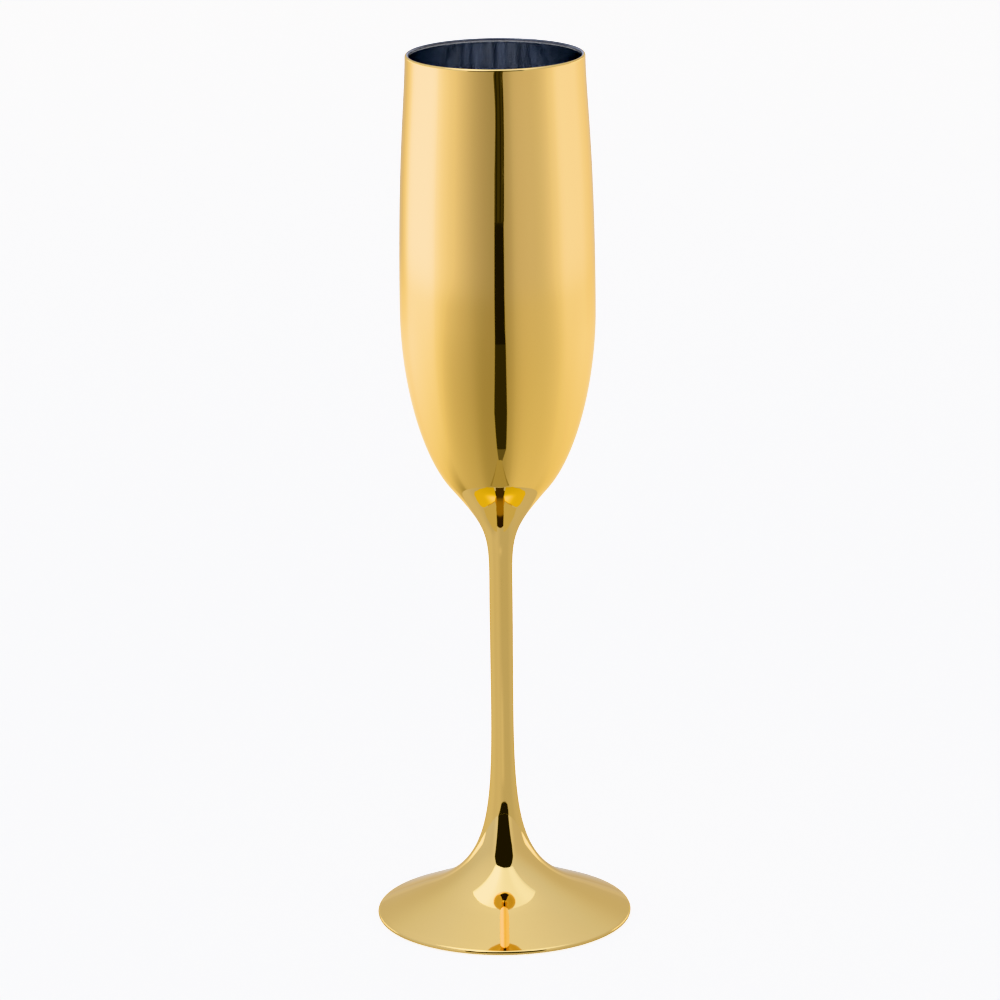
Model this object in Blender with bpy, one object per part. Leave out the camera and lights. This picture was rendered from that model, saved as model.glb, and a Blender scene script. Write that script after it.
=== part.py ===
"""A stemmed champagne flute in clear glass with a gold mirror coat.

Metres, +Z up. The origin is on the table, under the middle of the foot.

Three pieces of glass are fused in a line: a blown bowl, a drawn stem and a spun foot. The
bowl's rounded bottom sits in a cup at the top of the stem, and the stem's rounded end sits in
a cup in the foot's hub. A thin metal coat covers the outside from the lip to the foot's edge,
and the hollow under the foot. The inside of the bowl and the ring that the foot rests on are
bare glass.

Every piece is turned about Z. An outline is a list of (radius, height) points that runs down
the outer side of a piece.
"""

from collections import namedtuple
from math import cos, pi, radians, sin, tan

import bmesh
import bpy
from mathutils import Vector

# Driving dimensions of the gold outside. LIP_WRAP is how far up round the lip the gold goes.
HEIGHT = 0.230
LIP_RADIUS = 0.0229
LIP_WALL = 0.0010
LIP_WRAP = radians(90)
FOOT_RADIUS = 0.03345
FOOT_SLOPE = radians(23.7)
FOOT_EDGE_RADIUS = 0.00076
FOOT_EDGE_END = radians(-35)

# The coat, and the clearance between pieces that touch.
COAT = 0.0002
GAP = 0.0003
COVER = COAT + GAP

# The outside changes its course at these stations. The lean is measured from straight down,
# outwards, and the reaches are the lengths of the curve's handles above and below.
Station = namedtuple("Station", "radius height lean reach_above reach_below")
LIP_LEAN = radians(0.7)
LIP_REACH = 0.0118
BELLY = Station(0.02514, 0.1639, 0, 0.0408, 0.0185)
SHOULDER = Station(0.01285, 0.11695, radians(-40.3), 0.0115, 0.0165)
WAIST = Station(0.00308, 0.0851, 0, 0.0183, 0.0552)
CONE_TOP_RADIUS = 0.0212
CONE_TOP_REACH = 0.0224

# Inside of the bowl.
GLASS_LIP = LIP_WALL - COVER
INNER_LIP_REACH = 0.0110
INNER_BELLY = Station(0.0237, 0.1640, 0, 0.0400, 0.0300)
INNER_BOTTOM = Station(0, 0.1140, radians(-90), 0.0100, 0)

# The fused joints. Each is a shallow dome in a matching cup, a little apart in height.
BOWL_JOINT_HEIGHT = 0.1090
BOWL_JOINT_SAG = 0.0018
FOOT_JOINT_HEIGHT = 0.0260
FOOT_JOINT_SAG = 0.0012
JOINT_DROP = 0.00035

# Underside of the foot: a flat resting ring round a hollow.
RING_OUTER = 0.0325
RING_INNER = 0.0305
HOLLOW_EDGE = Station(0.0302, 0.0006, radians(-114), 0, 0.0120)
HOLLOW_TOP = Station(0, 0.0090, radians(-90), 0.0120, 0)
FOOT_COAT_HEIGHT = 0.0005

# How finely the pieces are turned, and how many steps each stretch of an outline takes.
SEGMENTS = 32
SHARP_EDGE = radians(40)
LIP_STEPS = 4
WALL_STEPS = 6
BASE_STEPS = 8
NECK_STEPS = 8
FLARE_STEPS = 11
EDGE_STEPS = 4
HOLLOW_STEPS = 6
BOWL_JOINT_STEPS = 4
FOOT_JOINT_STEPS = 3


def direction(lean):
    """The way an outline runs at a lean from straight down."""
    return Vector((sin(lean), -cos(lean)))


def curve(upper, lower, steps):
    """A smooth curve from one station to the next, both ends included."""
    start = Vector((upper.radius, upper.height))
    end = Vector((lower.radius, lower.height))
    leave = start + direction(upper.lean) * upper.reach_below
    arrive = end - direction(lower.lean) * lower.reach_above
    points = []
    for step in range(steps + 1):
        t = step / steps
        s = 1 - t
        points.append(s**3 * start + 3 * s * s * t * leave + 3 * s * t * t * arrive + t**3 * end)
    return points


def arc(centre, radius, start, end, steps):
    """An arc about a centre, with its angles measured from +radius towards +Z."""
    points = []
    for step in range(steps + 1):
        angle = start + (end - start) * step / steps
        points.append(centre + radius * Vector((cos(angle), sin(angle))))
    return points


def cap(rim, sag, steps):
    """A spherical cap from a rim down to the axis."""
    radius = (rim.x**2 + sag**2) / (2 * sag)
    centre = Vector((0, rim.y - sag + radius))
    half_angle = (rim - centre).angle(Vector((0, -1)))
    return arc(centre, radius, half_angle - pi / 2, -pi / 2, steps)


def inset(points, depth):
    """The same outline moved square to itself, into the piece."""
    last = len(points) - 1
    moved = []
    for i, point in enumerate(points):
        start = max(i, 1)
        end = min(i + 1, last)
        before = (points[start] - points[start - 1]).normalized()
        after = (points[end] - points[end - 1]).normalized()
        along = (before + after).normalized()
        inward = Vector((along.y, -along.x))
        moved.append(point + inward * depth / along.dot(after))
    return moved


def between(points, top, bottom):
    """The part of a falling outline between two heights, cut exactly at both."""
    kept = []
    for upper, lower in zip(points, points[1:]):
        fall = upper.y - lower.y
        if lower.y < top < upper.y:
            kept.append(upper.lerp(lower, (upper.y - top) / fall))
        if bottom < upper.y <= top:
            kept.append(upper)
        if lower.y < bottom < upper.y:
            kept.append(upper.lerp(lower, (upper.y - bottom) / fall))
    return kept


def lip_outline():
    """The gold lip, from its top to the wall."""
    centre = Vector((LIP_RADIUS - LIP_WALL / 2, HEIGHT - LIP_WALL / 2))
    return arc(centre, LIP_WALL / 2, LIP_WRAP, LIP_LEAN, LIP_STEPS)


def wall_outline():
    """The gold outside from under the lip down to the waist of the stem."""
    top = lip_outline()[-1]
    lip = Station(top.x, top.y, LIP_LEAN, 0, LIP_REACH)
    wall = curve(lip, BELLY, WALL_STEPS)
    base = curve(BELLY, SHOULDER, BASE_STEPS)
    neck = curve(SHOULDER, WAIST, NECK_STEPS)
    return wall + base[1:] + neck[1:]


def edge_outline():
    """The gold edge of the foot."""
    centre = Vector((FOOT_RADIUS - FOOT_EDGE_RADIUS, FOOT_EDGE_RADIUS))
    return arc(centre, FOOT_EDGE_RADIUS, pi / 2 - FOOT_SLOPE, FOOT_EDGE_END, EDGE_STEPS)


def flare_outline():
    """The gold outside from the waist of the stem to the foot's edge, and round it."""
    edge = edge_outline()
    rise = (edge[0].x - CONE_TOP_RADIUS) * tan(FOOT_SLOPE)
    cone_top = Station(
        CONE_TOP_RADIUS, edge[0].y + rise, pi / 2 - FOOT_SLOPE, CONE_TOP_REACH, 0
    )
    return curve(WAIST, cone_top, FLARE_STEPS) + edge


def hollow_outline():
    """The glass under the foot, from the resting ring up to the axis."""
    return curve(HOLLOW_EDGE, HOLLOW_TOP, HOLLOW_STEPS)


def turn(name, outline, material):
    """Turn a closed outline about Z into a solid."""
    bm = bmesh.new()
    verts = [bm.verts.new((point.x, 0, point.y)) for point in outline]
    edges = []
    for start, end in zip(verts, verts[1:] + verts[:1]):
        if start.co.x or end.co.x:
            edges.append(bm.edges.new((start, end)))
    bmesh.ops.spin(
        bm,
        geom=verts + edges,
        axis=(0, 0, 1),
        angle=2 * pi,
        steps=SEGMENTS,
        use_merge=True,
    )
    bmesh.ops.remove_doubles(bm, verts=bm.verts, dist=1e-6)
    bmesh.ops.recalc_face_normals(bm, faces=bm.faces)
    mesh = bpy.data.meshes.new(name)
    bm.to_mesh(mesh)
    bm.free()
    mesh.materials.append(material)
    mesh.shade_smooth()
    mesh.set_sharp_from_angle(angle=SHARP_EDGE)
    piece = bpy.data.objects.new(name, mesh)
    bpy.context.collection.objects.link(piece)
    return piece


def finish(name, colour, roughness, metallic):
    """A plain Principled material."""
    material = bpy.data.materials.new(name)
    material.use_nodes = True
    shader = material.node_tree.nodes["Principled BSDF"]
    shader.inputs["Base Color"].default_value = (*colour, 1)
    shader.inputs["Roughness"].default_value = roughness
    shader.inputs["Metallic"].default_value = metallic
    return material


def make_bowl(material):
    """The bowl: an even wall with a solid rounded bottom."""
    lip_centre = Vector((LIP_RADIUS - LIP_WALL + GLASS_LIP / 2, HEIGHT - COVER - GLASS_LIP))
    lip = arc(lip_centre, GLASS_LIP / 2, pi, 0, LIP_STEPS)
    outside = between(inset(wall_outline(), COVER), lip_centre.y, BOWL_JOINT_HEIGHT)
    bottom = cap(outside[-1], BOWL_JOINT_SAG, BOWL_JOINT_STEPS)
    inner_lip = Station(lip[0].x, lip[0].y, LIP_LEAN, 0, INNER_LIP_REACH)
    wall = curve(inner_lip, INNER_BELLY, WALL_STEPS)
    base = curve(INNER_BELLY, INNER_BOTTOM, BASE_STEPS)
    inside = wall[1:] + base[1:]
    return turn("bowl", lip[:-1] + outside + bottom[1:] + inside[::-1], material)


def make_stem(material):
    """The stem: a cup under the bowl, a slim waist and a rounded lower end."""
    upper = inset(wall_outline(), COVER)
    lower = inset(flare_outline(), COVER)
    upper = between(upper, BOWL_JOINT_HEIGHT - JOINT_DROP, WAIST.height)
    lower = between(lower, WAIST.height, FOOT_JOINT_HEIGHT)
    cup = cap(upper[0], BOWL_JOINT_SAG, BOWL_JOINT_STEPS)
    end = cap(lower[-1], FOOT_JOINT_SAG, FOOT_JOINT_STEPS)
    return turn("stem", cup[::-1] + upper[1:] + lower[1:] + end[1:], material)


def make_foot(material):
    """The foot: a cupped hub on a shallow cone with a resting ring and a hollow under it."""
    outside = between(inset(flare_outline(), COVER), FOOT_JOINT_HEIGHT - JOINT_DROP, 0)
    cup = cap(outside[0], FOOT_JOINT_SAG, FOOT_JOINT_STEPS)
    ring = [Vector((RING_OUTER, 0)), Vector((RING_INNER, 0))]
    return turn("foot", cup[::-1] + outside[1:] + ring + hollow_outline(), material)


def make_gold_coat(material):
    """The coat over the outside, from the top of the lip to the foot's lower edge."""
    outside = lip_outline() + wall_outline()[1:] + flare_outline()[1:]
    return turn("gold_coat", outside + inset(outside, COAT)[::-1], material)


def make_foot_coat(material):
    """The coat in the hollow under the foot, clear of the resting ring."""
    near = between(inset(hollow_outline(), -GAP)[::-1], HOLLOW_TOP.height, FOOT_COAT_HEIGHT)
    far = between(inset(hollow_outline(), -COVER)[::-1], HOLLOW_TOP.height, FOOT_COAT_HEIGHT)
    return turn("foot_coat", near + far[::-1], material)


def main():
    for old in list(bpy.data.objects):
        bpy.data.objects.remove(old)
    gold = finish("gold_mirror", (0.83, 0.62, 0.22), 0.06, 1.0)
    backed_glass = finish("backed_glass", (0.10, 0.12, 0.15), 0.05, 0.8)
    clear_glass = finish("clear_glass", (0.75, 0.80, 0.82), 0.03, 0.0)
    foot_glass = finish("foot_glass", (0.70, 0.78, 0.80), 0.03, 0.0)
    under_gold = finish("under_gold", (0.80, 0.60, 0.24), 0.08, 1.0)
    make_bowl(backed_glass)
    make_stem(clear_glass)
    make_foot(foot_glass)
    make_gold_coat(gold)
    make_foot_coat(under_gold)


main()
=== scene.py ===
"""The looks of the champagne flute: fine turned surfaces, mirror finishes and a soft studio.

Metres, +Z up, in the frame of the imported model. The flute stands on the floor at the origin.
"""

from collections import namedtuple
from math import cos, pi, radians, sin, tan

import bmesh
import bpy
from mathutils import Matrix, Vector


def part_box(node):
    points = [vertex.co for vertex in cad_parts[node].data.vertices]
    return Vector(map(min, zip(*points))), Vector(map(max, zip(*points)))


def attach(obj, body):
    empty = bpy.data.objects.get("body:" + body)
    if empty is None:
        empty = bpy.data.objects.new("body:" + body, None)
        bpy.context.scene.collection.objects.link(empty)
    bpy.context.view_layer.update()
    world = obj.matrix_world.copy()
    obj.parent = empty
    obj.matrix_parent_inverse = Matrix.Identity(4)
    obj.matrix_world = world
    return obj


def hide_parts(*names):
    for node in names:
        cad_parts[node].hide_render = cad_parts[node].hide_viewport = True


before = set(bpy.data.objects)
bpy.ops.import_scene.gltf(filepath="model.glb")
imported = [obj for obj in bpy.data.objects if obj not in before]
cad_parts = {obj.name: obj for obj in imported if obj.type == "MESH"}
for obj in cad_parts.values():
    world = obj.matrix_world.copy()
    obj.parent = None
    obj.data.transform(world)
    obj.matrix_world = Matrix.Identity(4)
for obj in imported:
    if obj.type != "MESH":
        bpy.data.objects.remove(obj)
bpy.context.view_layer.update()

# The two driving sizes come from the frame. The rest of the outline repeats the design.
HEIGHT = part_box("gold_coat")[1].z
FOOT_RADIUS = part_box("gold_coat")[1].x
LIP_RADIUS = 0.0229
LIP_WALL = 0.0010
LIP_WRAP = radians(90)
FOOT_SLOPE = radians(23.7)
FOOT_EDGE_RADIUS = 0.00076
FOOT_EDGE_END = radians(-35)

Station = namedtuple("Station", "radius height lean reach_above reach_below")
LIP_LEAN = radians(0.7)
LIP_REACH = 0.0118
BELLY = Station(0.02514, 0.1639, 0, 0.0408, 0.0185)
SHOULDER = Station(0.01285, 0.11695, radians(-40.3), 0.0115, 0.0165)
WAIST = Station(0.00308, 0.0851, 0, 0.0183, 0.0552)
CONE_TOP_RADIUS = 0.0212
CONE_TOP_REACH = 0.0224

INNER_LIP_REACH = 0.0110
INNER_BELLY = Station(0.0237, 0.1640, 0, 0.0400, 0.0300)
INNER_BOTTOM = Station(0, 0.1140, radians(-90), 0.0100, 0)

BOWL_JOINT_HEIGHT = 0.1090
BOWL_JOINT_SAG = 0.0018
FOOT_JOINT_HEIGHT = 0.0260
FOOT_JOINT_SAG = 0.0012

RING_OUTER = 0.0325
RING_INNER = 0.0305
HOLLOW_EDGE = Station(0.0302, 0.0006, radians(-114), 0, 0.0120)
HOLLOW_TOP = Station(0, 0.0090, radians(-90), 0.0120, 0)
UNDER_COAT_HEIGHT = 0.0005

# The real coat is far thinner than a solid can be, so here it is a film on the glass.
FILM = 0.00006
CONTACT = 0.00001

SEGMENTS = 192
SHARP_EDGE = radians(50)
CLOSE = 0.0000001


def direction(lean):
    """The way an outline runs at a lean from straight down."""
    return Vector((sin(lean), -cos(lean)))


def curve(upper, lower, steps):
    """A smooth curve from one station to the next, both ends included."""
    start = Vector((upper.radius, upper.height))
    end = Vector((lower.radius, lower.height))
    leave = start + direction(upper.lean) * upper.reach_below
    arrive = end - direction(lower.lean) * lower.reach_above
    points = []
    for step in range(steps + 1):
        t = step / steps
        s = 1 - t
        points.append(s**3 * start + 3 * s * s * t * leave + 3 * s * t * t * arrive + t**3 * end)
    return points


def arc(centre, radius, start, end, steps):
    """An arc about a centre, with its angles measured from +radius towards +Z."""
    points = []
    for step in range(steps + 1):
        angle = start + (end - start) * step / steps
        points.append(centre + radius * Vector((cos(angle), sin(angle))))
    return points


def cap(rim, sag, steps):
    """A spherical cap from a rim down to the axis."""
    radius = (rim.x**2 + sag**2) / (2 * sag)
    centre = Vector((0, rim.y - sag + radius))
    half_angle = (rim - centre).angle(Vector((0, -1)))
    return arc(centre, radius, half_angle - pi / 2, -pi / 2, steps)


def inset(points, depth):
    """The same outline moved square to itself, into the piece."""
    last = len(points) - 1
    moved = []
    for i, point in enumerate(points):
        start = max(i, 1)
        end = min(i + 1, last)
        before = (points[start] - points[start - 1]).normalized()
        after = (points[end] - points[end - 1]).normalized()
        along = (before + after).normalized()
        inward = Vector((along.y, -along.x))
        moved.append(point + inward * depth / along.dot(after))
    return moved


def between(points, top, bottom):
    """The part of a falling outline between two heights, cut exactly at both."""
    kept = []
    for upper, lower in zip(points, points[1:]):
        fall = upper.y - lower.y
        if lower.y < top < upper.y:
            kept.append(upper.lerp(lower, (upper.y - top) / fall))
        if bottom < upper.y <= top:
            kept.append(upper)
        if lower.y < bottom < upper.y:
            kept.append(upper.lerp(lower, (upper.y - bottom) / fall))
    return kept


def lip_centre():
    """The centre of the lip's round."""
    return Vector((LIP_RADIUS - LIP_WALL / 2, HEIGHT - LIP_WALL / 2))


def lip_outline():
    """The gold lip, from its top to the wall."""
    return arc(lip_centre(), LIP_WALL / 2, LIP_WRAP, LIP_LEAN, 16)


def wall_outline():
    """The gold outside from under the lip down to the waist of the stem."""
    top = lip_outline()[-1]
    lip = Station(top.x, top.y, LIP_LEAN, 0, LIP_REACH)
    wall = curve(lip, BELLY, 40)
    base = curve(BELLY, SHOULDER, 44)
    neck = curve(SHOULDER, WAIST, 44)
    return wall + base[1:] + neck[1:]


def edge_outline():
    """The gold edge of the foot."""
    centre = Vector((FOOT_RADIUS - FOOT_EDGE_RADIUS, FOOT_EDGE_RADIUS))
    return arc(centre, FOOT_EDGE_RADIUS, pi / 2 - FOOT_SLOPE, FOOT_EDGE_END, 14)


def flare_outline():
    """The gold outside from the waist of the stem to the foot's edge, and round it."""
    edge = edge_outline()
    rise = (edge[0].x - CONE_TOP_RADIUS) * tan(FOOT_SLOPE)
    cone_top = Station(
        CONE_TOP_RADIUS, edge[0].y + rise, pi / 2 - FOOT_SLOPE, CONE_TOP_REACH, 0
    )
    cone = [Vector((cone_top.radius, cone_top.height)).lerp(edge[0], i / 4) for i in range(1, 4)]
    return curve(WAIST, cone_top, 64) + cone + edge


def hollow_outline():
    """The glass under the foot, from the resting ring up to the axis."""
    return curve(HOLLOW_EDGE, HOLLOW_TOP, 32)


def turn(name, outline, material):
    """Turn a closed outline about Z into a piece that rides on the flute."""
    outline = [point for i, point in enumerate(outline) if (point - outline[i - 1]).length > CLOSE]
    angles = [2 * pi * step / SEGMENTS for step in range(SEGMENTS)]
    verts = []
    rings = []
    for point in outline:
        first = len(verts)
        if point.x < CLOSE:
            verts.append((0, 0, point.y))
            rings.append([first] * SEGMENTS)
        else:
            verts += [(point.x * cos(angle), point.x * sin(angle), point.y) for angle in angles]
            rings.append(range(first, first + SEGMENTS))
    faces = []
    for upper, lower in zip(rings, rings[1:] + rings[:1]):
        for i in range(SEGMENTS):
            corners = (upper[i - 1], lower[i - 1], lower[i], upper[i])
            face = [corner for k, corner in enumerate(corners) if corner != corners[k - 1]]
            if len(face) > 2:
                faces.append(face)
    mesh = bpy.data.meshes.new(name)
    mesh.from_pydata(verts, [], faces)
    mesh.materials.append(material)
    mesh.shade_smooth()
    mesh.set_sharp_from_angle(angle=SHARP_EDGE)
    piece = bpy.data.objects.new(name, mesh)
    bpy.context.collection.objects.link(piece)
    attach(piece, "root")
    return piece


# Materials

GOLD_DEEP = (0.950, 0.634, 0.208)
GOLD_PALE = (0.950, 0.646, 0.224)
GOLD_GRAZING = (0.955, 0.83, 0.60, 1)
METAL_DEEP = (0.826, 0.829, 0.832)
METAL_PALE = (0.846, 0.850, 0.854)
BARE_LIP = (0.045, 0.045, 0.050)
GLASS_TINT = (0.93, 0.96, 0.97, 1)

# Noise seldom leaves this range.
NOISE_LOW = 0.3
NOISE_HIGH = 0.7


def new_material(name):
    """A node material, its tree and its Principled shader."""
    material = bpy.data.materials.new(name)
    material.use_nodes = True
    tree = material.node_tree
    return material, tree, tree.nodes["Principled BSDF"]


def place_noise(tree, stretch, scale, detail):
    """Noise in the flute's own space, stretched along X, Y and Z."""
    coordinates = tree.nodes.new("ShaderNodeTexCoord")
    mapping = tree.nodes.new("ShaderNodeMapping")
    mapping.inputs["Scale"].default_value = stretch
    noise = tree.nodes.new("ShaderNodeTexNoise")
    noise.inputs["Scale"].default_value = scale
    noise.inputs["Detail"].default_value = detail
    tree.links.new(coordinates.outputs["Object"], mapping.inputs["Vector"])
    tree.links.new(mapping.outputs["Vector"], noise.inputs["Vector"])
    return noise.outputs["Fac"]


def spread(tree, value, low, high):
    """Map a noise's middle range to a low and a high value."""
    node = tree.nodes.new("ShaderNodeMapRange")
    node.inputs["From Min"].default_value = NOISE_LOW
    node.inputs["From Max"].default_value = NOISE_HIGH
    node.inputs["To Min"].default_value = low
    node.inputs["To Max"].default_value = high
    tree.links.new(value, node.inputs["Value"])
    return node.outputs["Result"]


def blend_colours(tree, factor, first, second):
    """Mix two colours, each fixed or from a socket, by a value."""
    mix = tree.nodes.new("ShaderNodeMix")
    mix.data_type = "RGBA"
    for name, colour in (("A", first), ("B", second)):
        if isinstance(colour, tuple):
            mix.inputs[name].default_value = (*colour, 1)
        else:
            tree.links.new(colour, mix.inputs[name])
    tree.links.new(factor, mix.inputs["Factor"])
    return mix.outputs["Result"]


def bump(tree, height, depth, under=None):
    """A bump of a depth in metres, laid on another one."""
    node = tree.nodes.new("ShaderNodeBump")
    node.inputs["Distance"].default_value = depth
    tree.links.new(height, node.inputs["Height"])
    if under:
        tree.links.new(under, node.inputs["Normal"])
    return node.outputs["Normal"]


def gold_mirror():
    """Gold-tinted metal film on drawn glass."""
    material, tree, shader = new_material("gold_mirror")
    tint = place_noise(tree, (1, 1, 0.4), 40, 2)
    colour = blend_colours(tree, spread(tree, tint, 0, 1), GOLD_DEEP, GOLD_PALE)
    wear = place_noise(tree, (1, 1, 1), 900, 3)
    draw_lines = place_noise(tree, (1, 1, 0.015), 260, 2)
    peel = place_noise(tree, (1, 1, 1), 420, 1)
    normal = bump(tree, draw_lines, 0.000006)
    normal = bump(tree, peel, 0.0000006, normal)
    shader.inputs["Metallic"].default_value = 1.0
    shader.inputs["Specular Tint"].default_value = GOLD_GRAZING
    tree.links.new(colour, shader.inputs["Base Color"])
    tree.links.new(spread(tree, wear, 0.022, 0.040), shader.inputs["Roughness"])
    tree.links.new(normal, shader.inputs["Normal"])
    return material


def backed_glass():
    """Clear glass with the back of the metal film behind it, and bare inside the lip."""
    material, tree, shader = new_material("backed_glass")
    tint = place_noise(tree, (1, 1, 0.1), 90, 2)
    colour = blend_colours(tree, spread(tree, tint, 0, 1), METAL_DEEP, METAL_PALE)
    streaks = place_noise(tree, (1, 1, 0.02), 300, 2)
    coordinates = tree.nodes.new("ShaderNodeTexCoord")
    split = tree.nodes.new("ShaderNodeSeparateXYZ")
    tree.links.new(coordinates.outputs["Object"], split.inputs["Vector"])
    backed = tree.nodes.new("ShaderNodeMapRange")
    backed.inputs["From Min"].default_value = HEIGHT - LIP_WALL / 2
    backed.inputs["From Max"].default_value = HEIGHT - LIP_WALL
    tree.links.new(split.outputs["Z"], backed.inputs["Value"])
    colour = blend_colours(tree, backed.outputs["Result"], BARE_LIP, colour)
    shader.inputs["Coat Weight"].default_value = 0.5
    shader.inputs["Coat Roughness"].default_value = 0.02
    tree.links.new(backed.outputs["Result"], shader.inputs["Metallic"])
    tree.links.new(colour, shader.inputs["Base Color"])
    tree.links.new(spread(tree, streaks, 0.045, 0.080), shader.inputs["Roughness"])
    tree.links.new(bump(tree, streaks, 0.000004), shader.inputs["Normal"])
    return material


def clear_glass():
    """Clear glass, a little hazy and worn all over."""
    material, tree, shader = new_material("clear_glass")
    haze = place_noise(tree, (1, 1, 1), 700, 4)
    shader.inputs["Base Color"].default_value = GLASS_TINT
    shader.inputs["Transmission Weight"].default_value = 1.0
    shader.inputs["IOR"].default_value = 1.5
    tree.links.new(spread(tree, haze, 0.04, 0.16), shader.inputs["Roughness"])
    tree.links.new(bump(tree, haze, 0.000002), shader.inputs["Normal"])
    return material


# Pieces


def make_gold_skin(material):
    """The gold film over the outside, from the top of the lip to the foot's lower edge."""
    outside = lip_outline() + wall_outline()[1:] + flare_outline()[1:]
    skin = turn("gold_skin", outside + inset(outside, FILM)[::-1], material)
    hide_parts("gold_coat")


def make_bowl_glass(material):
    """The bowl's glass, bare from the top of the lip inwards."""
    under_film = FILM + CONTACT
    bare = arc(lip_centre(), LIP_WALL / 2, pi, LIP_WRAP, 16)
    covered = arc(lip_centre(), LIP_WALL / 2 - under_film, LIP_WRAP, LIP_LEAN, 16)
    outside = between(inset(wall_outline(), under_film), covered[-1].y, BOWL_JOINT_HEIGHT)
    bottom = cap(outside[-1], BOWL_JOINT_SAG, 12)
    inner_lip = Station(bare[0].x, bare[0].y, LIP_LEAN, 0, INNER_LIP_REACH)
    inside = curve(inner_lip, INNER_BELLY, 40)[1:] + curve(INNER_BELLY, INNER_BOTTOM, 60)[1:]
    outline = bare + covered[:-1] + outside + bottom[1:] + inside[::-1]
    glass = turn("bowl_glass", outline, material)
    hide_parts("bowl")


def make_stem_glass(material):
    """The stem's glass core, between its two fused joints."""
    under_film = FILM + CONTACT
    upper = between(inset(wall_outline(), under_film), BOWL_JOINT_HEIGHT - CONTACT, WAIST.height)
    lower = between(inset(flare_outline(), under_film), WAIST.height, FOOT_JOINT_HEIGHT)
    cup = cap(upper[0], BOWL_JOINT_SAG, 12)
    end = cap(lower[-1], FOOT_JOINT_SAG, 12)
    glass = turn("stem_glass", cup[::-1] + upper[1:] + lower[1:] + end[1:], material)
    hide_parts("stem")


def make_foot_glass(material):
    """The foot's glass, bare at the resting ring."""
    under_film = FILM + CONTACT
    outside = between(inset(flare_outline(), under_film), FOOT_JOINT_HEIGHT - CONTACT, 0)
    cup = cap(outside[0], FOOT_JOINT_SAG, 12)
    ring = [Vector((RING_OUTER, 0)), Vector((RING_INNER, 0))]
    glass = turn("foot_glass", cup[::-1] + outside[1:] + ring + hollow_outline(), material)
    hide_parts("foot")


def make_under_skin(material):
    """The gold film in the hollow under the foot, clear of the resting ring."""
    near = inset(hollow_outline(), -CONTACT)[::-1]
    far = inset(hollow_outline(), -CONTACT - FILM)[::-1]
    near = between(near, HOLLOW_TOP.height, UNDER_COAT_HEIGHT)
    far = between(far, HOLLOW_TOP.height, UNDER_COAT_HEIGHT)
    skin = turn("under_skin", near + far[::-1], material)
    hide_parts("foot_coat")


# Studio

FLOOR_RADIUS = 4.0
SWEEP_RADIUS = 1.5
BACKDROP_HEIGHT = 4.0

CAMERA_PLACE = (0.00002, -1.2016, 0.4473)
CAMERA_PITCH = radians(15.543)
CAMERA_ROLL = radians(-0.64)
CAMERA_LENS = 173.6
CAMERA_SENSOR = 36

NEUTRAL = (1, 1, 1)
COOL_LEFT = (0.93, 1.04, 1.40)
COOL_RIGHT = (0.98, 1.02, 1.15)
COOL_TOP = (0.95, 1.06, 1.38)

# Light meets the inside of the bowl many times on its way back to the eye.
MIRROR_BOUNCES = 32


def make_camera():
    """A long lens, looking down a little, and turned a little in its mount."""
    data = bpy.data.cameras.new("camera")
    data.lens = CAMERA_LENS
    data.sensor_width = CAMERA_SENSOR
    camera = bpy.data.objects.new("camera", data)
    look = Matrix.Rotation(pi / 2 - CAMERA_PITCH, 4, "X") @ Matrix.Rotation(CAMERA_ROLL, 4, "Z")
    camera.matrix_world = Matrix.Translation(CAMERA_PLACE) @ look
    bpy.context.collection.objects.link(camera)
    bpy.context.scene.camera = camera


def calc(tree, operation, first, second=None):
    """One step of arithmetic on values or sockets."""
    node = tree.nodes.new("ShaderNodeMath")
    node.operation = operation
    for socket, value in zip(node.inputs, (first, second)):
        if isinstance(value, (int, float)):
            socket.default_value = value
        elif value is not None:
            tree.links.new(value, socket)
    return node.outputs["Value"]


def ramp(tree, value, stops):
    """A smooth curve through (value, brightness) stops."""
    low = stops[0][0]
    high = stops[-1][0]
    top = max(brightness for _, brightness in stops)
    node = tree.nodes.new("ShaderNodeFloatCurve")
    points = node.mapping.curves[0].points
    for at, brightness in stops[1:-1]:
        points.new((at - low) / (high - low), brightness / top)
    points[0].location = (0, stops[0][1] / top)
    points[len(stops) - 1].location = (1, stops[-1][1] / top)
    for point in points:
        point.handle_type = "AUTO_CLAMPED"
    node.mapping.update()
    along = calc(tree, "DIVIDE", calc(tree, "SUBTRACT", value, low), high - low)
    tree.links.new(along, node.inputs["Value"])
    return calc(tree, "MULTIPLY", node.outputs["Value"], top)


def add(tree, *values):
    """The sum of values or sockets."""
    total = values[0]
    for value in values[1:]:
        total = calc(tree, "ADD", total, value)
    return total


def square(tree, value):
    """A value or socket times itself."""
    return calc(tree, "MULTIPLY", value, value)


def pool(tree, x, y, centre, width, depth, strength):
    """A soft pool of light, or of shade where its strength is below zero."""
    across = calc(tree, "DIVIDE", calc(tree, "SUBTRACT", x, centre[0]), width)
    along = calc(tree, "DIVIDE", calc(tree, "SUBTRACT", y, centre[1]), depth)
    reach = add(tree, square(tree, across), square(tree, along))
    fade = calc(tree, "EXPONENT", calc(tree, "MULTIPLY", reach, -1))
    return calc(tree, "MULTIPLY", fade, strength)


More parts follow.
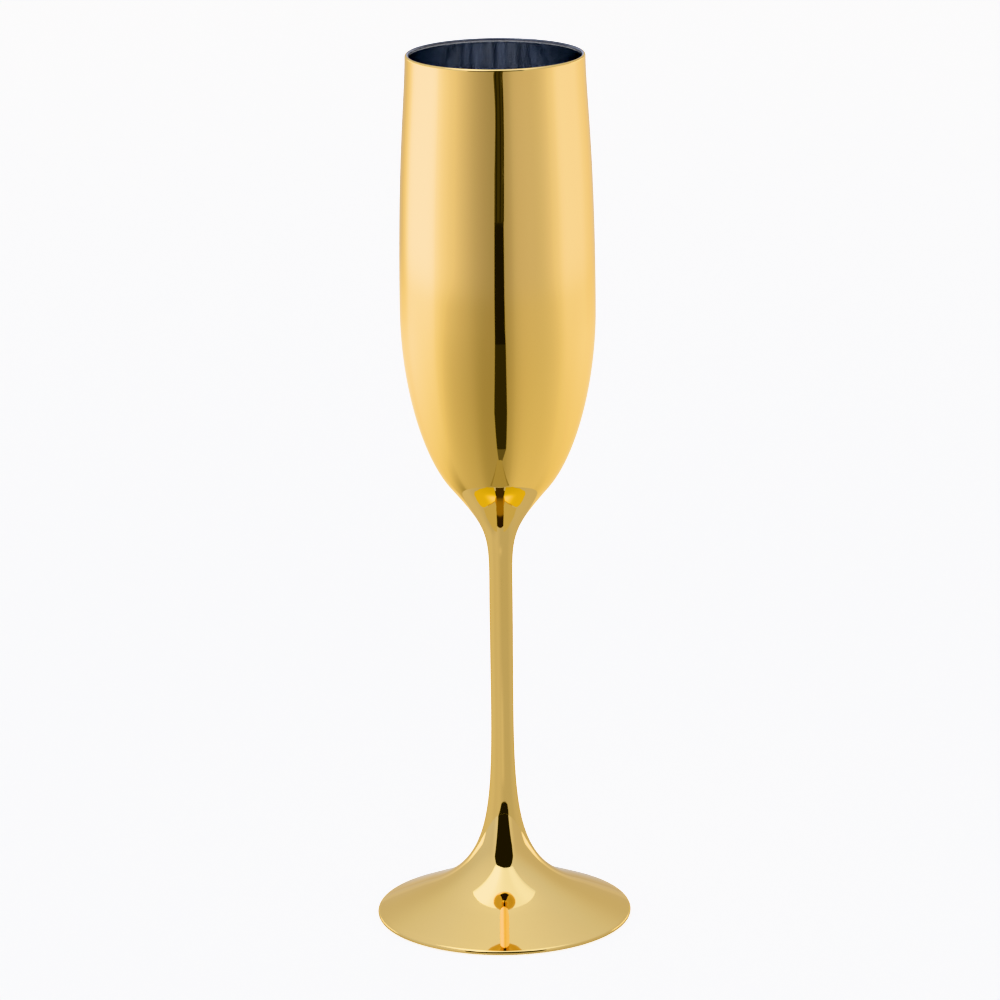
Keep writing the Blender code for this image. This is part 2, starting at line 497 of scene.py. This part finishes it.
def make_surround():
    """Soft light from all round: brighter overhead and low behind, cooler on the left."""
    world = bpy.data.worlds.new("surround")
    world.use_nodes = True
    tree = world.node_tree
    coordinates = tree.nodes.new("ShaderNodeTexCoord")
    split = tree.nodes.new("ShaderNodeSeparateXYZ")
    tree.links.new(coordinates.outputs["Generated"], split.inputs["Vector"])
    x = split.outputs["X"]
    y = split.outputs["Y"]
    z = split.outputs["Z"]
    overhead = ramp(tree, z, [(-1, 0.69), (0.3, 0.69), (0.6, 0.77), (0.85, 0.85), (1, 0.98)])
    front = ramp(tree, y, [(-1, 0.15), (-0.7, 0.10), (-0.45, 0), (1, 0)])
    behind = ramp(tree, y, [(-1, 0), (0.25, 0), (0.45, 2.0), (0.70, 2.0), (0.85, 0.4), (1, 0)])
    low = ramp(tree, z, [(-1, 1), (0.08, 1), (0.15, 0), (1, 0)])
    low_behind = calc(tree, "MULTIPLY", behind, low)
    side = calc(tree, "MULTIPLY", x, -0.045)
    to_right = ramp(tree, x, [(-1, 0), (1, 1)])
    to_top = ramp(tree, z, [(-1, 0), (0.35, 0), (0.8, 1), (1, 1)])
    sideways = blend_colours(tree, to_right, COOL_LEFT, COOL_RIGHT)
    colour = blend_colours(tree, to_top, sideways, COOL_TOP)
    background = tree.nodes["Background"]
    tree.links.new(colour, background.inputs["Color"])
    tree.links.new(add(tree, overhead, front, low_behind, side), background.inputs["Strength"])
    bpy.context.scene.world = world


def make_floor():
    """A pale floor that sweeps up into a backdrop all round."""
    centre = Vector((FLOOR_RADIUS, SWEEP_RADIUS))
    sweep = arc(centre, SWEEP_RADIUS, -pi / 2, 0, 24)
    outline = [Vector((0, 0))] + sweep + [Vector((sweep[-1].x, BACKDROP_HEIGHT))]
    bm = bmesh.new()
    verts = [bm.verts.new((point.x, 0, point.y)) for point in outline]
    edges = [bm.edges.new(pair) for pair in zip(verts, verts[1:])]
    bmesh.ops.spin(
        bm, geom=verts + edges, axis=(0, 0, 1), angle=2 * pi, steps=96, use_merge=True
    )
    bmesh.ops.remove_doubles(bm, verts=bm.verts, dist=1e-5)
    mesh = bpy.data.meshes.new("floor")
    bm.to_mesh(mesh)
    bm.free()
    mesh.shade_smooth()
    material, tree, shader = new_material("floor")
    shader.inputs["Base Color"].default_value = (0.86, 0.82, 0.74, 1)
    shader.inputs["Roughness"].default_value = 0.9
    shader.inputs["Specular IOR Level"].default_value = 0.0
    shader.inputs["Emission Color"].default_value = (*NEUTRAL, 1)
    shader.inputs["Emission Strength"].default_value = 1.1
    mesh.materials.append(material)
    floor = bpy.data.objects.new("floor", mesh)
    bpy.context.collection.objects.link(floor)
    floor.visible_glossy = False


def light_material(name, colour):
    """An emitter that shines on its front only, its tree and its Emission shader."""
    material = bpy.data.materials.new(name)
    material.use_nodes = True
    tree = material.node_tree
    tree.nodes.remove(tree.nodes["Principled BSDF"])
    emission = tree.nodes.new("ShaderNodeEmission")
    emission.inputs["Color"].default_value = (*colour, 1)
    clear = tree.nodes.new("ShaderNodeBsdfTransparent")
    geometry = tree.nodes.new("ShaderNodeNewGeometry")
    mix = tree.nodes.new("ShaderNodeMixShader")
    tree.links.new(geometry.outputs["Backfacing"], mix.inputs["Fac"])
    tree.links.new(emission.outputs["Emission"], mix.inputs[1])
    tree.links.new(clear.outputs["BSDF"], mix.inputs[2])
    tree.links.new(mix.outputs["Shader"], tree.nodes["Material Output"].inputs["Surface"])
    return material, tree, emission


def plain_light(name, colour, strength):
    """An emitter of one brightness."""
    material, _, emission = light_material(name, colour)
    emission.inputs["Strength"].default_value = strength
    return material


def make_card(name, corners, material, faces=None):
    """A card seen only in reflections, and only where its corners run counterclockwise."""
    mesh = bpy.data.meshes.new(name)
    mesh.from_pydata(corners, [], faces or [tuple(range(len(corners)))])
    mesh.materials.append(material)
    card = bpy.data.objects.new(name, mesh)
    bpy.context.collection.objects.link(card)
    card.visible_camera = False
    card.visible_diffuse = False
    card.visible_shadow = False
    return card


def level(outline, height):
    """Corners at one height from a list of (x, y)."""
    return [(x, y, height) for x, y in outline]


def polar(distance, azimuth):
    """The (x, y) at a distance from the axis, and at an azimuth in degrees from the front."""
    return distance * sin(radians(azimuth)), -distance * cos(radians(azimuth))


def strip(rows):
    """An outline with a left and a right azimuth at each distance, counterclockwise."""
    left = [polar(distance, azimuth) for distance, azimuth, _ in rows]
    right = [polar(distance, azimuth) for distance, _, azimuth in rows]
    return left + right[::-1]


def place(tree):
    """A point on a card: X, Y, azimuth from the front in degrees, and log of the distance."""
    geometry = tree.nodes.new("ShaderNodeNewGeometry")
    split = tree.nodes.new("ShaderNodeSeparateXYZ")
    tree.links.new(geometry.outputs["Position"], split.inputs["Vector"])
    x = split.outputs["X"]
    y = split.outputs["Y"]
    azimuth = calc(tree, "DEGREES", calc(tree, "ARCTAN2", x, calc(tree, "MULTIPLY", y, -1)))
    reach = calc(tree, "SQRT", add(tree, square(tree, x), square(tree, y)))
    return x, y, azimuth, calc(tree, "LOGARITHM", reach, 10)


TOP_LIGHT_HEIGHT = 2.05


def make_top_light():
    """A large soft light overhead, with soft sides and a soft front, brighter on the left."""
    material, tree, emission = light_material("top_light", (0.94, 1.10, 1.52))
    x, y, _, _ = place(tree)
    stops = [
        (-1.15, 1.0),
        (-0.9, 3.0),
        (-0.6, 3.0),
        (-0.3, 2.0),
        (0, 1.35),
        (0.3, 1.25),
        (0.7, 1.6),
        (0.9, 1.5),
        (1.15, 0.85),
    ]
    across = ramp(tree, x, stops)
    along = ramp(tree, y, [(-1.8, 0.55), (-1.3, 1), (0.7, 1)])
    tree.links.new(calc(tree, "MULTIPLY", across, along), emission.inputs["Strength"])
    outline = [(-1.15, -1.75), (-1.15, 0.57), (1.15, 0.57), (1.15, -1.60)]
    light = make_card("top_light", level(outline, TOP_LIGHT_HEIGHT), material)
    light.visible_diffuse = True


# Both tables shine upward only. The high one has a hole round the stem, so the bowl sees
# the high one, and the stem and the foot see the low one.
TABLE_SIZE = 5.0
LOW_TABLE_HEIGHT = -0.0002
HIGH_TABLE_HEIGHT = 0.100
HIGH_TABLE_HOLE = 0.0205
HIGH_TABLE_SIDES = 64

# Cards that lie on each other are this far apart.
LIFT = 0.0003
DARK = 0.015


def make_low_table():
    """The table as the stem and the foot see it: even, a little brighter on the left."""
    material, tree, emission = light_material("low_table", (0.98, 1.01, 1.07))
    x, y, azimuth, _ = place(tree)
    stops = [
        (-180, 0.55),
        (-150, 0.74),
        (-90, 0.74),
        (-60, 0.69),
        (-35, 0.71),
        (-11, 0.65),
        (11, 0.60),
        (60, 0.60),
        (90, 0.65),
        (150, 0.68),
        (180, 0.55),
    ]
    centre = pool(tree, x, y, (0, -0.17), 0.04, 0.03, 0.12)
    shaded = pool(tree, x, y, (-0.05, 0), 0.03, 0.04, -0.14)
    glow = add(tree, ramp(tree, azimuth, stops), centre, shaded)
    tree.links.new(glow, emission.inputs["Strength"])
    corners = [polar(TABLE_SIZE, 90 * i) for i in range(4)]
    make_card("low_table", level(corners, LOW_TABLE_HEIGHT), material)
    rows = [(0.33, 2, 20), (0.36, -14, 30), (0.60, -22, 34), (1.20, -28, 34), (3.40, -32, 33)]
    dark = plain_light("low_dark", NEUTRAL, DARK)
    make_card("low_dark", level(strip(rows), LOW_TABLE_HEIGHT + LIFT), dark)


def make_high_table():
    """The table as the bowl sees it from above: windows of light on both sides."""
    material, tree, emission = light_material("high_table", NEUTRAL)
    x, y, azimuth, distance = place(tree)
    near_stops = [
        (-180, 0.75),
        (-144, 0.90),
        (-115, 0.98),
        (-92, 0.88),
        (-60, 0.64),
        (-35, 0.54),
        (-9, 0.40),
        (0, 0.40),
        (12, 0.48),
        (23, 0.64),
        (35, 0.72),
        (60, 0.75),
        (92, 0.87),
        (129, 0.98),
        (157, 0.86),
        (180, 0.65),
    ]
    far_stops = [
        (-180, 0.45),
        (-157, 0.77),
        (-144, 0.90),
        (-129, 2.0),
        (-111, 3.9),
        (-92, 3.9),
        (-74, 2.05),
        (-60, 1.13),
        (-47, 0.87),
        (-35, 0.70),
        (-23, 0.56),
        (-9, 0.46),
        (0, 0.43),
        (12, 0.49),
        (23, 0.65),
        (35, 0.69),
        (47, 0.71),
        (60, 0.81),
        (74, 1.08),
        (92, 1.70),
        (111, 1.70),
        (129, 1.35),
        (157, 0.90),
        (180, 0.45),
    ]
    outward = [(-1.3, 0), (-1.0, 0.14), (-0.7, 0.33), (-0.5, 0.48), (-0.33, 1), (0.7, 1)]
    out = ramp(tree, distance, outward)
    near = ramp(tree, azimuth, near_stops)
    far = ramp(tree, azimuth, far_stops)
    rise = calc(tree, "MULTIPLY", calc(tree, "SUBTRACT", far, near), out)
    colour = blend_colours(tree, out, (1.0, 0.97, 0.80), (1.0, 1.0, 1.06))
    tree.links.new(colour, emission.inputs["Color"])
    left = pool(tree, x, y, (-0.12, 0.14), 0.12, 0.11, 1.2)
    right = pool(tree, x, y, (0.13, 0.15), 0.12, 0.12, 0.5)
    tree.links.new(add(tree, near, rise, left, right), emission.inputs["Strength"])
    corners = []
    faces = []
    for i in range(HIGH_TABLE_SIDES):
        angle = 360 * i / HIGH_TABLE_SIDES
        corners += [polar(HIGH_TABLE_HOLE, angle), polar(TABLE_SIZE, angle)]
        inner = 2 * i
        next_inner = 2 * ((i + 1) % HIGH_TABLE_SIDES)
        faces.append((next_inner, inner, inner + 1, next_inner + 1))
    make_card("high_table", level(corners, HIGH_TABLE_HEIGHT), material, faces)


def make_stripe():
    """The dark gap between the windows, as the bowl sees it."""
    rows = [
        (0.047, -3.0, 9.0),
        (0.080, -5.4, 9.6),
        (0.22, -3.6, 8.3),
        (0.36, -3.6, 7.5),
        (0.62, -2.8, 7.7),
        (1.0, -2.1, 7.8),
        (1.5, -1.1, 8.6),
        (2.6, 0.2, 10.4),
    ]
    height = HIGH_TABLE_HEIGHT + LIFT
    parts = (("near", rows[:3], 0.035), ("mid", rows[2:5], 0.012), ("far", rows[4:], 0.055))
    for name, part, brightness in parts:
        material = plain_light(f"{name}_stripe", NEUTRAL, brightness)
        make_card(f"{name}_stripe", level(strip(part), height), material)
    black = plain_light("stripe_line", NEUTRAL, 0.012)
    for i, azimuth in enumerate((-1.2, 3.2, 7.0)):
        line = strip([(0.62, azimuth, azimuth + 1.1), (2.6, azimuth + 2.0, azimuth + 3.1)])
        make_card(f"stripe_line_{i + 1}", level(line, height + LIFT), black)


def make_tongue():
    """The lighter tongue between the stripe and the stem."""
    height = HIGH_TABLE_HEIGHT + LIFT
    wedge = strip([(0.0385, -1.0, 4.0), (0.047, -3.0, 9.0)])
    make_card("wedge", level(wedge, height), plain_light("wedge", NEUTRAL, 0.15))
    for name, grow, brightness in (("tongue_edge", 1.0, 0.33), ("tongue", 0.82, 0.46)):
        half = 0.0065 * grow
        tongue = [(-half, -0.0205), (-0.0020, -0.0385), (0.0020, -0.0385), (half, -0.0205)]
        height += LIFT
        make_card(name, level(tongue, height), plain_light(name, (1, 0.95, 0.72), brightness))


def make_dark_room():
    """The dark room behind the camera, as the foot sees it above the table."""
    outline = [
        (-2.00, 0.00),
        (-2.20, 1.45),
        (-2.40, 2.50),
        (-1.90, 3.30),
        (-0.90, 4.20),
        (0.00, 5.00),
        (0.90, 4.20),
        (1.90, 3.30),
        (2.40, 2.50),
        (2.40, 1.50),
        (1.90, 0.00),
    ]
    material = plain_light("dark_room", NEUTRAL, DARK)
    make_card("dark_room", [(x, -3.0, z) for x, z in outline], material)


# High enough that the neck doesn't show these a second time.
GLOW_HEIGHT = 0.102


def make_pair(name, outline, material):
    """A card on the right of the middle plane and its mirror image on the left."""
    mirrored = [(-x, y) for x, y in reversed(outline)]
    make_card(f"{name}_right", level(outline, GLOW_HEIGHT), material)
    make_card(f"{name}_left", level(mirrored, GLOW_HEIGHT), material)


def make_gold_glow():
    """The two gold lights that the shoulder sees below it."""
    material, tree, emission = light_material("gold_glow", (1.0, 0.83, 0.115))
    x, y, _, _ = place(tree)
    left = pool(tree, x, y, (-0.0035, -0.0115), 0.0028, 0.0018, 1.2)
    right = pool(tree, x, y, (0.0035, -0.0115), 0.0028, 0.0018, 1.2)
    fade = ramp(tree, y, [(-0.0195, 0.66), (-0.012, 0.80), (-0.005, 0.84)])
    tree.links.new(add(tree, fade, left, right), emission.inputs["Strength"])
    lobe = [
        (0.0038, -0.0195),
        (0.0082, -0.0184),
        (0.0121, -0.0149),
        (0.0142, -0.0102),
        (0.0136, -0.0072),
        (0.0116, -0.0051),
        (0.0102, -0.0051),
        (0.0088, -0.0059),
        (0.0057, -0.0089),
        (0.0026, -0.0107),
        (0.0022, -0.0135),
        (0.0030, -0.0172),
    ]
    make_pair("gold_glow", lobe, material)
    olive = [
        (0.0018, -0.0066),
        (0.0018, -0.0096),
        (0.0026, -0.0105),
        (0.0056, -0.0087),
        (0.0086, -0.0058),
        (0.0074, -0.0050),
    ]
    make_pair("olive_glow", olive, plain_light("olive_glow", (0.97, 0.93, 0.70), 0.66))


def make_shade():
    """The dark between the two gold lights."""
    material, tree, emission = light_material("shade", (1.0, 0.62, 0.12))
    y = place(tree)[1]
    stops = [
        (-0.0200, 0.05),
        (-0.0135, 0.05),
        (-0.0112, 0.20),
        (-0.0095, 0.33),
        (-0.0085, 0.30),
        (-0.0081, 0.03),
        (-0.0070, 0.02),
    ]
    tree.links.new(ramp(tree, y, stops), emission.inputs["Strength"])
    right = [
        (0.0018, -0.0072),
        (0.0020, -0.0089),
        (0.0017, -0.0108),
        (0.0020, -0.0134),
        (0.0026, -0.0196),
    ]
    outline = [(-x, y) for x, y in right] + right[::-1]
    make_card("shade", level(outline, GLOW_HEIGHT), material)


def main():
    gold = gold_mirror()
    clear = clear_glass()
    make_gold_skin(gold)
    make_bowl_glass(backed_glass())
    make_stem_glass(clear)
    make_foot_glass(clear)
    make_under_skin(gold)
    make_surround()
    make_floor()
    make_top_light()
    make_low_table()
    make_high_table()
    make_stripe()
    make_tongue()
    make_dark_room()
    make_gold_glow()
    make_shade()
    make_camera()
    scene = bpy.context.scene
    scene.view_settings.view_transform = "Khronos PBR Neutral"
    scene.cycles.max_bounces = MIRROR_BOUNCES
    scene.cycles.glossy_bounces = MIRROR_BOUNCES


main()
